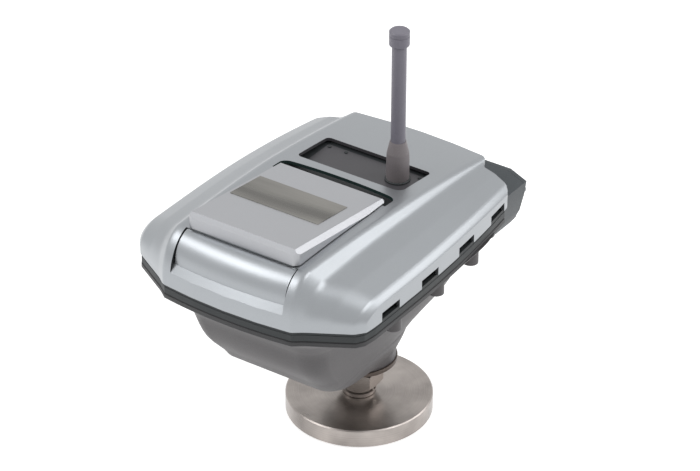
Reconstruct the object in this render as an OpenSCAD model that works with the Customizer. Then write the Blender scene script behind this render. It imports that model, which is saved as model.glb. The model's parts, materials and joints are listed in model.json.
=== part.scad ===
// Radar level transmitter on a plain process flange.
// Origin: centre of the flange's underside. +Z up, -Y towards the display nose.

/* [Process flange and neck] */
// Diameter of the plain process flange
flange_d = 152; // [140:1:165]
// Thickness of the flange
flange_t = 20; // [16:0.5:24]
// Bore of the microwave port in the flange's underside
port_d = 24; // [18:0.5:26]
// Outer diameter of the turned neck
neck_d = 30; // [28:0.5:33]
// Diameter of the collar that carries the housing
collar_d = 78; // [70:1:84]

/* [Housing] */
// Widest width of the housing and its cover
body_w = 270; // [262:1:278]
// Height of the housing's rim above the flange's underside
rim_z = 229; // [225:1:232]
// Distance of the nose from the flange's axis
nose_y = 233; // [229:1:236]
// Distance of the terminal compartment's rear face from the axis
rear_y = 140; // [136:1:142]
// Wall thickness of the cast housing
cast_wall = 6; // [5:0.5:7]
// Bore of the adapter that takes the cable gland
entry_d = 18.5; // [16:0.5:20]

/* [Outer cover] */
// Height of the cover's spine at its crest
spine_top = 295.5; // [293:0.5:297]
// Half width of the flat spine
spine_half = 80; // [78:0.5:81]
// Wall thickness of the cover
cover_wall = 3.5; // [3:0.25:4]
// Length of each notch along the skirt
notch_len = 30; // [24:1:34]
// Height of each notch
notch_h = 9.5; // [7:0.5:11]

/* [Display lid] */
// Width of the display lid
lid_w = 129; // [125:1:131]
// Height of the lid's front top edge
lid_front_z = 313.6; // [308:0.2:316]
// Thickness of the lid's walls
lid_wall = 3; // [2.5:0.25:3.5]
// Angle of the lid above its closed place
lid_open = 0; // [0:5:95]

/* [Antenna] */
// Height of the antenna mast above its deck
mast_h = 168; // [120:1:180]
// Diameter of the mast
mast_d = 14.8; // [12:0.2:16]
// Offset of the antenna to the right of the axis
mast_x = 36.5; // [30:0.5:40]

/* [Hidden] */
$fn = 64;

// Colours
silver = [0.66, 0.69, 0.69];
lid_grey = [0.66, 0.66, 0.69];
cast_grey = [0.29, 0.27, 0.28];
steel = [0.62, 0.59, 0.56];
dark = [0.13, 0.15, 0.15];
mast_brown = [0.43, 0.4, 0.44];
board_green = [0.1, 0.35, 0.2];

// Flange and neck
flange_edge = 1.2;
seal_r = 14;
seal_z = 12;
neck_bore = 11;
neck_ring_r = 17;
neck_ring_h = 4.5;
nut_r = 24.6;
nut_z = 33;
nut_h = 17;
nut_facet = 30;
nut_bevel = 2.6;
plug_z = 29.2;
plug_shank = 2.4;
plug_head = 3.4;
collar_z = 60;
collar_h = 5;
neck_top = 78;
guide_top = 112;
guide_play = 0.4;
guide_wall = 2;
collar_seat_r = 21;

// Plan of the rim: straight sides that draw in to the rear, bowed nose, cut corners
side_bend_y = -110;
side_curve = 2800;
corner_x = 75;
corner_y = -227.5;
step_x = 85;
step_y = -220;
cheek_x = 127;
cheek_y = -195.5;
side_front_y = -172;
skirt_rear_y = 78;
shoulder_rear_y = 90;

// Heights of the stack over the rim
gasket_h = 1.5;
inner_flange_h = 6.5;
skirt_z = 241;

// Lip of the inner cover that carries the skirt
inner_rim_inset = 1.6;
lip_inset = 2;
lip_inner = 5.6;

// Raised part of the inner cover
hump_half = 74;
hump_wall = 4;
hump_top = 282;
hump_front_y = -188;
hump_step_y = -64;
hump_rear_y = 42;

// Spine, shoulder and edge of the cover
crest_y = -170;
spine_r = 1760;
spine_rear_y = 111;
shoulder_bend_y = -80;
edge_z = 262;
edge_in = 8.5;
edge_drop = 6;
nose_base_z = 247;

// Window, display recess and nose pocket
window_rear = 33;
window_front = -22;
window_half = 62;
lid_front_y = -201.5;
lid_rear_y = -50;
lid_rear_z = 295.5;
slot_half = 68.5;
slot_front_y = -57;
slot_rear_y = -38;
slot_corner = 8;
opening_half = 56;
opening_front_y = -192;
opening_rear_y = -66;
pocket_half = 65.6;
ledge_z = 264.8;
ledge_front_y = -226;
ledge_rear_y = -216;
ledge_bottom_z = 250;
pocket_rear_y = -200.5;
fairing_rear_y = -201.2;
fairing_depth = 24.6;
fairing_top_z = 294;
fairing_wall = 3;
fairing_play = 1.5;
bow_r = 511;
notch_start = [-162.5, -94, -24, 43];

// Rear terminal compartment
chunk_z = 246;
chunk_half = 89;
chunk_floor = 174;
chunk_front_y = 84;
chunk_wall = 8;
chunk_hollow_y = 98;
cover_play = 0.4;
plug_flange_r = 14.5;
adapter_hex_r = 17;
terminal_cover_t = 4.8;
terminal_gasket_t = 0.8;
lid_screw_places = [[-102.3, 226], [102.3, 226], [-91.5, 191], [91.5, 191], [0, 242], [0, 178]];
thread_depth = 6;
entry_x = [-52, 0, 52];
entry_y = 116;
plug_x = [-52, 52];
boss_drop = 8;
entry_boss_r = 16;
entry_hole_r = 11.75;
entry_play = 0.05;
adapter_len = 16;
adapter_shank = 12;
adapter_passage_r = 7.5;
earth_at = [-110, 112, 225];
earth_boss_r = 7;
earth_boss_len = 12;

// Deck under the window and the antenna
deck_z = 278;
plate_t = 1.2;
mast_y = 11;
mast_foot_r = 4.9;
deck_screw_places = [[-54, 24], [-34, 24], [54, 24], [-54, -13], [-20, -13], [0, -13], [20, -13], [54, -13]];
deck_screw_r = 1.2;
deck_screw_depth = 3;

// Heights of the antenna's parts above the deck
base_h = 45;
cap_h = 16;
seat_h = plate_t + 2;

// Hinge of the lid
hinge_y = -56;
hinge_z = 288;
hinge_x = 48;
pin_r = 1.5;
pin_play = 0.05;
pin_len = 12.8;
ear_t = 4;
bracket_offset = 4.4;

// Lid over the spine
lid_lift = 1;
lid_r = spine_r + lid_lift;
bumper_play = 0.1;
lid_slope = (lid_front_z - lid_rear_z) / (lid_rear_y - lid_front_y);
lid_bevel = 5.5;
lid_corner = 7;
plate_x = [-57, 46];
plate_y = [-141, -91];
nameplate_t = 0.6;

// Bosses and screws along the rim, under the cover; the third value is a boss's lower end
boss_places = [[82, -198, 217], [121, -122, 207], [120.5, -46, 207], [118, 20, 207], [104, 72, 207]];
boss_r = 8;
screw_r = 2.5;
screw_reach = 14;
screw_head_r = 4.6;
gasket_hole_r = 3.2;
rim_slab_z = 224;
rim_inset = 1.2;
chamber_inset = 24;
chamber_z = 217;

// Chamber floor and the stack of boards over the radar module
tub_floor_z = 102;
module_base_r = 26;
module_h = 34;
frame_z = guide_top + module_h;
frame_t = 3;
card_z = [164, 184, 204];
card_t = 1.6;
card_corner = [62, -130, 54];
spacer_r = 2.6;
spacer_x = 52;
spacer_y = [-118, 40];

// ---------------------------------------------------------------- shapes

// Plate with rounded corners, from exact pieces
module round_plate(a, b, r, z0, h) {
    translate([0, 0, z0])
        linear_extrude(h)
            union() {
                translate([a[0] + r, a[1]])
                    square([b[0] - a[0] - 2 * r, b[1] - a[1]]);
                translate([a[0], a[1] + r])
                    square([b[0] - a[0], b[1] - a[1] - 2 * r]);
                for (x = [a[0] + r, b[0] - r], y = [a[1] + r, b[1] - r])
                    translate([x, y])
                        circle(r);
            }
}

// Box between two corners
module block(a, b) {
    translate(a)
        cube([b[0] - a[0], b[1] - a[1], b[2] - a[2]]);
}

// Outline in Y and Z, extruded across the width
module across(half, outline) {
    rotate([90, 0, 90])
        translate([0, 0, -half])
            linear_extrude(2 * half)
                polygon(outline);
}

// Outline in Y and Z, swept along the bow of the nose and cut off level with rear_y
module bowed(half, rear_y, outline) {
    centre_y = bow_r - nose_y;
    intersection() {
        translate([0, centre_y, 0])
            rotate_extrude($fn = 720)
                polygon([for (p = outline) [centre_y - p[0], p[1]]]);
        block([-half, -2 * nose_y, 200], [half, rear_y, 340]);
    }
}

// Copies on both sides of the centre plane
module both_sides() {
    children();
    mirror([1, 0, 0])
        children();
}

// ---------------------------------------------------------------- cover form

function clamp0(v) = max(0, v);

// Half width of the skirt
function side_x(y) = body_w / 2 - pow(clamp0(y - side_bend_y), 2) / side_curve;

// Nose outline in plan
function nose(x) =
    x < corner_x
        ? -nose_y + (nose_y + corner_y) * pow(x / corner_x, 2)
        : x < step_x
            ? lerp(corner_y, step_y, (x - corner_x) / (step_x - corner_x))
            : lerp(step_y, cheek_y, (x - step_x) / (cheek_x - step_x));

function spine_z(y) = spine_top - pow(y - crest_y, 2) / (2 * spine_r);
function spine_x(y) = spine_half - 0.03 * clamp0(-50 - y);
function band(y) = 12.3 - 8 * (y - crest_y) / 260;
function sag(y) = pow(clamp0(y - shoulder_bend_y), 2) / 2800;
function foot_x(y) = spine_x(y) + band(y);
function foot_z(y) = spine_z(y) - band(y);
function shoulder_x(y, s) = foot_x(y) + (side_x(y) - edge_in - foot_x(y)) * s;
function shoulder_z(y, s) = foot_z(y) + (edge_z - sag(y) - foot_z(y)) * s + 4 * s * (1 - s);

// Lines along the cover, from the centre line (0) to the top of the skirt (9)
last_line = 9;
function line_x(k, y) = [
    0,
    spine_x(y) * 0.5,
    spine_x(y) - 3,
    spine_x(y) + 0.6,
    foot_x(y) - 1.6,
    foot_x(y) + 2,
    shoulder_x(y, 0.5),
    side_x(y) - edge_in,
    side_x(y) - 1.2,
    side_x(y)
][k];
function line_z(k, y) = [
    spine_z(y),
    spine_z(y),
    spine_z(y),
    spine_z(y) - 1.3,
    foot_z(y) + 0.9,
    foot_z(y) - 0.9,
    shoulder_z(y, 0.5),
    edge_z - sag(y),
    edge_z - sag(y) - edge_drop + 0.8,
    edge_z - sag(y) - edge_drop - 1
][k];

// Where each line starts at the rear, where it meets the nose and how long its roll is
line_rear = [spine_rear_y, 109, 104.5, 103, 99, 91, 90.5, 88, 83, 79];
line_nose_x = [0, 38, 70, 75, 83, 90, 105, 118, 126, 129];
line_roll = [34, 34, 33, 32, 34, 36, 38, 34, 28, 25];

function lerp(a, b, s) = a + (b - a) * s;

// Point of the skin on line k at station j of n main and m roll stations, drawn in by t
function skin_point(k, j, n, m, t) =
    let (
        y1 = nose(line_nose_x[k]) + line_roll[k],
        in_x = k >= 3 ? t : 0,
        y_main = lerp(line_rear[k], y1, min(1, j / n)),
        angle = j > n ? 90 * (j - n) / m : 0,
        x0 = line_x(k, y_main),
        z0 = line_z(k, y_main),
        base = nose_base_z - t
    )
    [
        lerp(line_nose_x[k], x0, cos(angle)) - in_x,
        j <= n ? min(y_main, line_rear[k] - t) : y1 - (line_roll[k] - t) * sin(angle),
        lerp(base, z0 - t, cos(angle))
    ];

// Closed solid under the skin, down to the height bottom
module cover_form(t, n, m, bottom) {
    cols = 2 * last_line + 1;
    rows = n + m + 1;
    top = [
        for (j = [0:rows - 1], i = [-last_line:last_line])
            let (p = skin_point(abs(i), j, n, m, t))
            [sign(i) * p[0], p[1], p[2]]
    ];
    loop = concat(
        [for (j = [0:rows - 1]) j * cols],
        [for (i = [1:cols - 1]) (rows - 1) * cols + i],
        [for (j = [1:rows - 1]) (rows - 1 - j) * cols + cols - 1],
        [for (i = [1:cols - 2]) cols - 1 - i]
    );
    base = len(top);
    count = len(loop);
    skirt = [for (v = loop) [top[v][0], top[v][1], bottom]];
    polyhedron(
        points = concat(top, skirt),
        faces = concat(
            [
                for (j = [0:rows - 2], i = [0:cols - 2], half = [0, 1])
                    let (a = j * cols + i, b = a + 1, c = a + cols, d = c + 1)
                    half == 0 ? [a, b, d] : [a, d, c]
            ],
            [
                for (e = [0:count - 1])
                    let (f = (e + 1) % count)
                    [loop[e], loop[f], base + f, base + e]
            ],
            [[for (e = [0:count - 1]) base + e]]
        )
    );
}

// Plan outline of the rim, drawn in by t
function rim_half(t) = concat(
    [for (x = [0:corner_x / 4:corner_x - 1]) [x, nose(x) + t]],
    [[corner_x - t * 0.3, corner_y + t]],
    [[step_x - t * 0.45, step_y + t * 0.9]],
    [[cheek_x - t * 0.6, cheek_y + t * 0.85]],
    [[side_x(side_front_y) - t - 2, side_front_y - 15 + t * 0.5]],
    [for (y = [side_front_y + t * 0.5:24:skirt_rear_y - 10]) [side_x(y) - t, y]],
    [[side_x(skirt_rear_y) - t, skirt_rear_y - t * 0.4]],
    [[side_x(skirt_rear_y) - 11 - t * 0.6, shoulder_rear_y - 1.8 - t]]
);
function mirrored(half) = concat(half, [for (i = [len(half) - 1:-1:1]) [-half[i][0], half[i][1]]]);

module rim_outline(t) {
    polygon(mirrored(rim_half(t)));
}

// ---------------------------------------------------------------- process side

module flange_disc() {
    r = flange_d / 2;
    color(steel)
        difference() {
            rotate_extrude($fn = 128)
                polygon([
                    [0, 0], [r - flange_edge, 0], [r, flange_edge],
                    [r, flange_t - flange_edge], [r - flange_edge, flange_t], [0, flange_t]
                ]);
            translate([0, 0, -1])
                cylinder(d = port_d, h = flange_t + 2);
            translate([0, 0, seal_z])
                cylinder(r = seal_r, h = flange_t);
        }
}

module process_seal() {
    color("white")
        rotate_extrude()
            polygon([[0, seal_z], [seal_r, seal_z], [seal_r, flange_t], [0, flange_t]]);
}

module neck_tube() {
    r = neck_d / 2;
    color(steel)
        difference() {
            rotate_extrude()
                polygon([
                    [neck_bore, flange_t], [neck_ring_r - 0.8, flange_t], [neck_ring_r, flange_t + 0.8],
                    [neck_ring_r, flange_t + neck_ring_h], [r, flange_t + neck_ring_h + 1], [r, collar_z],
                    [collar_seat_r, collar_z], [collar_seat_r, collar_z + collar_h], [r, collar_z + collar_h],
                    [r, neck_top], [neck_bore, neck_top]
                ]);
            translate([0, 0, plug_z])
                rotate([0, 90, 0])
                    cylinder(r = plug_shank, h = 30);
        }
}

module waveguide() {
    color(steel)
        translate([0, 0, flange_t])
            difference() {
                cylinder(r = neck_bore - guide_play, h = guide_top - flange_t);
                translate([0, 0, -1])
                    cylinder(r = neck_bore - guide_play - guide_wall, h = guide_top);
            }
}

module union_nut() {
    color(steel)
        translate([0, 0, nut_z])
            difference() {
                intersection() {
                    rotate([0, 0, nut_facet])
                        cylinder(r = nut_r, h = nut_h, $fn = 6);
                    rotate_extrude()
                        polygon([
                            [0, 0], [nut_r - nut_bevel, 0], [nut_r, 1.8], [nut_r, nut_h - 1.8],
                            [nut_r - nut_bevel, nut_h], [0, nut_h]
                        ]);
                }
                translate([0, 0, -1])
                    cylinder(d = neck_d, h = nut_h + 2);
            }
}

module neck_port_plug() {
    color(steel)
        translate([neck_d / 2 - 2, 0, plug_z])
            rotate([0, 90, 0])
                difference() {
                    union() {
                        cylinder(r = plug_shank, h = 3);
                        translate([0, 0, 2.2])
                            cylinder(r = plug_head, h = 3.8);
                    }
                    translate([0, 0, 4])
                        cylinder(r = 2, h = 3, $fn = 6);
                }
}

module collar_ring() {
    r = collar_d / 2;
    color([0.2, 0.15, 0.12])
        rotate_extrude()
            polygon([
                [collar_seat_r, collar_z], [r - 1, collar_z], [r, collar_z + 1],
                [r, collar_z + collar_h - 0.6], [r - 0.6, collar_z + collar_h],
                [collar_seat_r, collar_z + collar_h]
            ]);
}

// ---------------------------------------------------------------- housing

// Rings of the funnel: height, nose end, rear end, half width of the front face, widest
// half width and its place, radius of the front corners, squareness of the rear
rings = [
    [65, -37, 37, 36.5, 37, 2, 35.5, 2],
    [80, -66, 38, 42, 42, -12, 32, 2],
    [94, -95, 40, 52, 51, -24, 27, 2],
    [106, -123, 44, 60, 58, -40, 22, 2.2],
    [116, -140, 48, 65, 63, -50, 19, 2.2],
    [124, -150, 52, 67, 66, -54, 18, 2.4],
    [158, -178, 76, 73, 82, -44, 20, 4.6],
    [190, -192, 82, 80, 96, -40, 26, 5],
    [206, -202, 85, 94, 110, -50, 40, 5.2],
    [218, -216, 87, 117, 124, -70, 64, 5.6],
    [226, -225, 88, 129, 131, -76, 75, 5.8]
];
corner_steps = 4;
rear_steps = 6;
ring_count = 2 * (corner_steps + rear_steps) + 3;

function power(v, e) = v <= 0.0001 ? 0 : pow(v, e);

// Right half of one ring from the nose to the rear, drawn in by t
function ring_half(ring, t) =
    let (
        r = ring[6] - t,
        x0 = ring[3] - t - r,
        y0 = ring[1] + t + r,
        e = 2 / ring[7]
    )
    concat(
        [for (q = [0:corner_steps])
            let (a = 90 * q / corner_steps)
            [x0 + r * sin(a), y0 - r * cos(a), ring[0]]],
        [for (q = [0:rear_steps])
            let (a = 90 * q / rear_steps)
            [
                (ring[4] - t) * power(cos(a), e),
                ring[5] + (ring[2] - t - ring[5]) * power(sin(a), e),
                ring[0]
            ]]
    );
function ring_points(ring, t) =
    let (half = ring_half(ring, t))
    concat(half, [for (i = [len(half) - 2:-1:0]) [-half[i][0], half[i][1], half[i][2]]]);

// Loft through the rings from first to last, drawn in by t, floor raised by lift
module funnel(t, first, last, lift) {
    count = ring_count;
    levels = last - first + 1;
    points = [
        for (r = [first:last])
            for (p = ring_points(rings[r], t))
                [p[0], p[1], p[2] + (r == first ? lift : 0)]
    ];
    polyhedron(
        points = points,
        faces = concat(
            [[for (q = [0:count - 1]) q]],
            [
                for (r = [0:levels - 2], q = [0:count - 1], half = [0, 1])
                    let (a = r * count + q, b = r * count + (q + 1) % count, c = a + count, d = b + count)
                    half == 0 ? [a, c, b] : [b, c, d]
            ],
            [[for (q = [0:count - 1]) levels * count - 1 - q]]
        )
    );
}

// Section of the rear compartment, as half points in X and Z
function chunk_half_points(t) = [
    [0, chunk_z - t], [chunk_half - t * 0.5, chunk_z - t], [108 - t, 237.6 - t * 0.4], [106 - t, 222],
    [101 - t, 201], [95 - t, 188 + t * 0.3], [86 - t * 0.5, 179 + t * 0.7],
    [74, chunk_floor + t], [0, chunk_floor + t]
];
function chunk_points(t) =
    let (half = chunk_half_points(t))
    concat(half, [for (i = [len(half) - 2:-1:1]) [-half[i][0], half[i][1]]]);

module chunk(t, y0, y1) {
    translate([0, y1, 0])
        rotate([90, 0, 0])
            linear_extrude(y1 - y0)
                polygon(chunk_points(t));
}

module lower_housing() {
    face_y = rear_y - terminal_cover_t - terminal_gasket_t;
    color(cast_grey)
        difference() {
            union() {
                funnel(0, 0, len(rings) - 1, 0);
                translate([0, 0, rim_slab_z])
                    linear_extrude(rim_z - rim_slab_z)
                        rim_outline(rim_inset);
                chunk(0, chunk_front_y, face_y);
                both_sides()
                    for (p = boss_places)
                        translate(p)
                            cylinder(r = boss_r, h = rim_z - p[2]);
                for (x = entry_x)
                    translate([x, entry_y, chunk_floor - boss_drop])
                        cylinder(r = entry_boss_r, h = boss_drop + 4);
                translate(earth_at)
                    rotate([0, 90, 0])
                        cylinder(r = earth_boss_r, h = earth_boss_len);
            }
            // hollow of the main chamber
            funnel(cast_wall, 2, len(rings) - 2, tub_floor_z - rings[2][0]);
            translate([0, 0, chamber_z])
                linear_extrude(rim_z - chamber_z + 1)
                    rim_outline(chamber_inset);
            // hollow of the terminal compartment, open to the rear
            translate([0, rear_y, 0])
                rotate([90, 0, 0])
                    linear_extrude(rear_y - chunk_hollow_y)
                        polygon(chunk_points(chunk_wall));
            for (p = lid_screw_places)
                translate([p[0], face_y - thread_depth, p[1]])
                    rotate([-90, 0, 0])
                        cylinder(r = screw_r, h = thread_depth + 1);
            // socket of the neck, open into the chamber
            translate([0, 0, collar_z])
                cylinder(d = neck_d, h = tub_floor_z - collar_z + 1);
            for (x = entry_x)
                translate([x, entry_y, chunk_floor - boss_drop - 1])
                    cylinder(r = entry_hole_r, h = 40);
            both_sides()
                for (p = boss_places)
                    translate([p[0], p[1], rim_z - screw_reach - 1])
                        cylinder(r = screw_r, h = screw_reach + 2);
            translate([earth_at[0] - 1, earth_at[1], earth_at[2]])
                rotate([0, 90, 0])
                    cylinder(r = screw_r, h = 8);
            // the compartment's front gives way to the gasket and the inner cover
            translate([0, 0, rim_z])
                linear_extrude(chunk_z - rim_z + 1)
                    rim_outline(rim_inset);
        }
}

module rim_gasket() {
    color(dark)
        translate([0, 0, rim_z])
            linear_extrude(gasket_h)
                difference() {
                    rim_outline(2);
                    rim_outline(chamber_inset - 1);
                    both_sides()
                        for (p = boss_places)
                            translate([p[0], p[1]])
                                circle(gasket_hole_r);
                }
}

// Raised part of the inner cover, as side outline drawn in by t over the height bottom
function deck_outline(t, bottom) = [
    [hump_front_y + t, bottom], [hump_front_y + t, hump_top - t], [hump_step_y - t, hump_top - t],
    [hump_step_y + 6 - t, deck_z - t], [hump_rear_y - t, deck_z - t], [hump_rear_y - t, bottom]
];

module rim_ring(outer, inner, z0, z1) {
    translate([0, 0, z0])
        linear_extrude(z1 - z0)
            difference() {
                rim_outline(outer);
                rim_outline(inner);
            }
}

module inner_cover() {
    z0 = rim_z + gasket_h;
    z1 = z0 + inner_flange_h;
    color(dark)
        difference() {
            union() {
                translate([0, 0, z0])
                    linear_extrude(inner_flange_h)
                        rim_outline(inner_rim_inset);
                rim_ring(lip_inset, lip_inner, z1 - 1, skirt_z);
                across(hump_half, deck_outline(0, z0 + 1));
            }
            across(hump_half - hump_wall, deck_outline(hump_wall, z0 - 1));
            both_sides()
                for (p = boss_places)
                    translate([p[0], p[1], z0 - 1])
                        cylinder(r = screw_r + 0.8, h = inner_flange_h + 2);
            translate([mast_x, mast_y, deck_z - hump_wall - 1])
                cylinder(r = 6, h = hump_wall + 2);
            for (p = deck_screw_places)
                translate([p[0], p[1], deck_z - deck_screw_depth])
                    cylinder(r = deck_screw_r, h = deck_screw_depth + 1);
            round_plate([-44, -166], [44, -92], 3, hump_top - hump_wall - 1, hump_wall + 2);
            // the terminal compartment's upper front corner stands here
            chunk(-cover_play, shoulder_rear_y - 1.8, rear_y);
        }
}

module cover_screws() {
    z = rim_z + gasket_h + inner_flange_h;
    color("dimgray")
        both_sides()
            for (p = boss_places)
                translate([p[0], p[1], z])
                    difference() {
                        union() {
                            translate([0, 0, -inner_flange_h - screw_reach])
                                cylinder(r = screw_r, h = inner_flange_h + screw_reach);
                            cylinder(r = screw_head_r, h = 3.2);
                        }
                        translate([0, 0, 1.4])
                            cylinder(r = 2.1, h = 3, $fn = 6);
                    }
}

// ---------------------------------------------------------------- outer cover

// Opening under the lid with the slot that wraps round its rear edge
module lid_opening() {
    round_plate([-opening_half, opening_front_y], [opening_half, opening_rear_y + 20], 6, 260, 60);
    round_plate([-slot_half, slot_front_y], [slot_half, slot_rear_y], slot_corner, 260, 60);
}

module window_opening() {
    round_plate([-window_half, window_front], [window_half, window_rear], 5, 260, 60);
}

module outer_cover() {
    color(silver)
        difference() {
            cover_form(0, 9, 7, skirt_z - 2);
            difference() {
                cover_form(cover_wall, 5, 5, skirt_z - 4);
                block([-70, -240, ledge_bottom_z], [70, ledge_rear_y + 8, ledge_z]);
            }
            // level lower edge of the skirt
            block([-body_w, -2 * nose_y, skirt_z - 8], [body_w, nose_y, skirt_z]);
            chunk(-cover_play, chunk_front_y, rear_y);
            lid_opening();
            window_opening();
            // pocket and bevelled ledge for the nose fairing
            bowed(pocket_half, pocket_rear_y, [
                [-250, 240], [ledge_front_y - 6, ledge_z - 6], [ledge_front_y, ledge_z],
                [ledge_rear_y, ledge_z], [ledge_rear_y, 272],
                [-190, 290.5], [-190, 320], [-250, 320]
            ]);
            both_sides()
                for (y = notch_start)
                    block([100, y, skirt_z - 2], [150, y + notch_len, skirt_z + notch_h]);
        }
}

// Convex roll of the nose, as points in Y and Z drawn in by t
function fairing_arc(t) = [
    for (a = [0:9:90])
        [
            fairing_rear_y - (fairing_depth - t) * sin(a),
            ledge_z + (fairing_top_z - ledge_z - t) * cos(a)
        ]
];

module front_fairing() {
    half = pocket_half - fairing_play;
    back_y = fairing_rear_y + 8;
    color(silver)
        difference() {
            bowed(half, fairing_rear_y, concat(
                [[back_y, ledge_z], [back_y, fairing_top_z]],
                fairing_arc(0)
            ));
            bowed(half + 1, back_y, concat(
                [[back_y, ledge_z - 5], [back_y, fairing_top_z - fairing_wall]],
                fairing_arc(fairing_wall),
                [[fairing_rear_y - fairing_depth + fairing_wall, ledge_z - 5]]
            ));
        }
}

// ---------------------------------------------------------------- deck and antenna

module deck_plate() {
    color([0.22, 0.2, 0.21])
        difference() {
            round_plate([-58, -17], [58, 28], 2, deck_z, plate_t);
            translate([mast_x, mast_y, deck_z - 5])
                cylinder(r = 8.4, h = 20);
            for (p = deck_screw_places)
                translate([p[0], p[1], deck_z - 1])
                    cylinder(r = deck_screw_r + 0.1, h = 5);
        }
}

module deck_screws() {
    color("dimgray")
        for (p = deck_screw_places)
            translate([p[0], p[1], deck_z - deck_screw_depth])
                union() {
                    cylinder(r = deck_screw_r, h = deck_screw_depth + plate_t + 0.2);
                    translate([0, 0, deck_screw_depth + plate_t])
                        cylinder(r = 1.9, h = 0.8);
                }
}

module antenna_seat() {
    color(dark)
        translate([mast_x, mast_y, deck_z])
            rotate_extrude()
                polygon([
                    [5, -8], [5.8, -8], [5.8, 0], [8.2, 0], [8.2, plate_t + 0.1], [13, plate_t + 0.1],
                    [13, plate_t + 1.3], [12, plate_t + 2], [5, plate_t + 2]
                ]);
}

module antenna_base() {
    r = mast_d / 2;
    color(mast_brown)
        translate([mast_x, mast_y, deck_z])
            rotate_extrude()
                polygon([
                    [r, seat_h], [11.5, seat_h], [11.5, 24], [11, 32], [8.4, base_h - 1.2],
                    [8, base_h], [r, base_h]
                ]);
}

module antenna_rod() {
    r = mast_d / 2;
    color(mast_brown)
        translate([mast_x, mast_y, deck_z])
            union() {
                translate([0, 0, seat_h])
                    cylinder(r = r, h = mast_h - cap_h + 6 - seat_h);
                translate([0, 0, -12])
                    cylinder(r = mast_foot_r, h = 20);
            }
}

module antenna_cap() {
    r = mast_d / 2;
    color(mast_brown)
        translate([mast_x, mast_y, deck_z + mast_h - cap_h])
            rotate_extrude()
                polygon([
                    [r, 0], [9.6, 0], [10.2, 0.8], [10.2, cap_h - 6.2],
                    [9.7, cap_h - 5.9], [9.7, cap_h - 5.1],
                    [10.2, cap_h - 4.8], [10.2, cap_h - 1.2], [9, cap_h], [0, cap_h], [0, 6], [r, 6]
                ]);
}

// ---------------------------------------------------------------- display lid

function lid_top(y) = lid_rear_z + (lid_rear_y - y) * lid_slope;

module swing() {
    translate([0, hinge_y, hinge_z])
        rotate([-lid_open, 0, 0])
            translate([0, -hinge_y, -hinge_z])
                children();
}

// Body of the lid drawn in by t, without its hollow
module lid_body(t) {
    half = lid_w / 2 - t;
    front = lid_front_y + t;
    rear = lid_rear_y - t;
    b = lid_bevel;
    difference() {
        intersection() {
            round_plate([-half, front], [half, rear], lid_corner - t, 250, 90);
            across(half + 1, [
                [front, 250], [front, lid_top(front) - t - b],
                [front + b * 0.6, lid_top(front + b * 0.6) - t],
                [rear - 2, lid_top(rear - 2) - t], [rear, lid_top(rear) - t - 2], [rear, 250]
            ]);
        }
        // side bevels run parallel to the sloping top
        both_sides()
            multmatrix([[1, 0, 0, 0], [0, 1, 0, 0], [0, -lid_slope, 1, 0]])
                translate([half, 0, lid_rear_z + lid_rear_y * lid_slope - t])
                    rotate([90, 0, 0])
                        translate([0, 0, -20])
                            linear_extrude(260)
                                polygon([[-b * 0.8, 0.01], [4, -b - 4], [20, -b], [20, 20], [-b * 0.8, 20]]);
    }
}

// Everything below the lid's underside, which follows the spine
module under_lid() {
    translate([0, crest_y, spine_top - spine_r])
        rotate([0, 90, 0])
            cylinder(r = lid_r, h = 300, center = true, $fn = 360);
}

module display_lid() {
    color(lid_grey)
        swing()
            difference() {
                union() {
                    difference() {
                        lid_body(0);
                        difference() {
                            lid_body(lid_wall);
                            block([-100, -220, 240], [100, -40, 250.5]);
                        }
                        under_lid();
                    }
                    both_sides()
                        across_at(hinge_x, ear_t, [
                            [lid_rear_y - 4, 295.4], [lid_rear_y - 16, 295.4], [hinge_y - 4.5, hinge_z + 1],
                            [hinge_y - 4.5, hinge_z - 2.6], [hinge_y - 2.6, hinge_z - 4.5],
                            [hinge_y + 2.6, hinge_z - 4.5], [hinge_y + 4, hinge_z - 2], [lid_rear_y - 2, 291]
                        ]);
                }
                translate([0, hinge_y, hinge_z])
                    rotate([0, 90, 0])
                        cylinder(r = pin_r + pin_play, h = 200, center = true);
            }
}

// Outline in Y and Z as a leaf of thickness t centred on x
module across_at(x, t, outline) {
    translate([x, 0, 0])
        across(t / 2, outline);
}

module lid_nameplate() {
    tilt = atan(lid_slope);
    color("tan")
        swing()
            translate([plate_x[0], plate_y[0], lid_top(plate_y[0])])
                rotate([-tilt, 0, 0])
                    cube([plate_x[1] - plate_x[0], (plate_y[1] - plate_y[0]) / cos(tilt), nameplate_t]);
}

module lid_bumpers() {
    color("black")
        swing()
            both_sides()
                for (y = [-188, -74])
                    let (y1 = y + 4, high = lid_lift - 0.06)
                    across_at(lid_w / 2 - lid_wall / 2, lid_wall - 0.4, [
                        [y, spine_z(y) + bumper_play], [y1, spine_z(y1) + bumper_play],
                        [y1, spine_z(y1) + high], [y, spine_z(y) + high]
                    ]);
}

module hinge_brackets() {
    color(dark)
        both_sides()
            difference() {
                union() {
                    for (x = [hinge_x - bracket_offset, hinge_x + bracket_offset])
                        across_at(x, ear_t, [
                            [hump_step_y - 2, hump_top], [hinge_y - 4.5, hinge_z + 1.5],
                            [hinge_y - 2, hinge_z + 3.6],
                            [hinge_y + 1.6, hinge_z + 3.6], [hinge_y + 3.8, hinge_z + 1.5],
                            [hinge_y + 3.8, hinge_z - 1],
                            [hinge_y + 2.4, hinge_z - 3.5], [hinge_y + 2.4, deck_z],
                            [hump_step_y + 6, deck_z], [hump_step_y, hump_top]
                        ]);
                }
                translate([0, hinge_y, hinge_z])
                    rotate([0, 90, 0])
                        cylinder(r = pin_r, h = 200, center = true);
            }
}

module hinge_pins() {
    color("silver")
        both_sides()
            translate([hinge_x, hinge_y, hinge_z])
                rotate([0, 90, 0])
                    cylinder(r = pin_r, h = pin_len, center = true);
}

// ---------------------------------------------------------------- display

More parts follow.
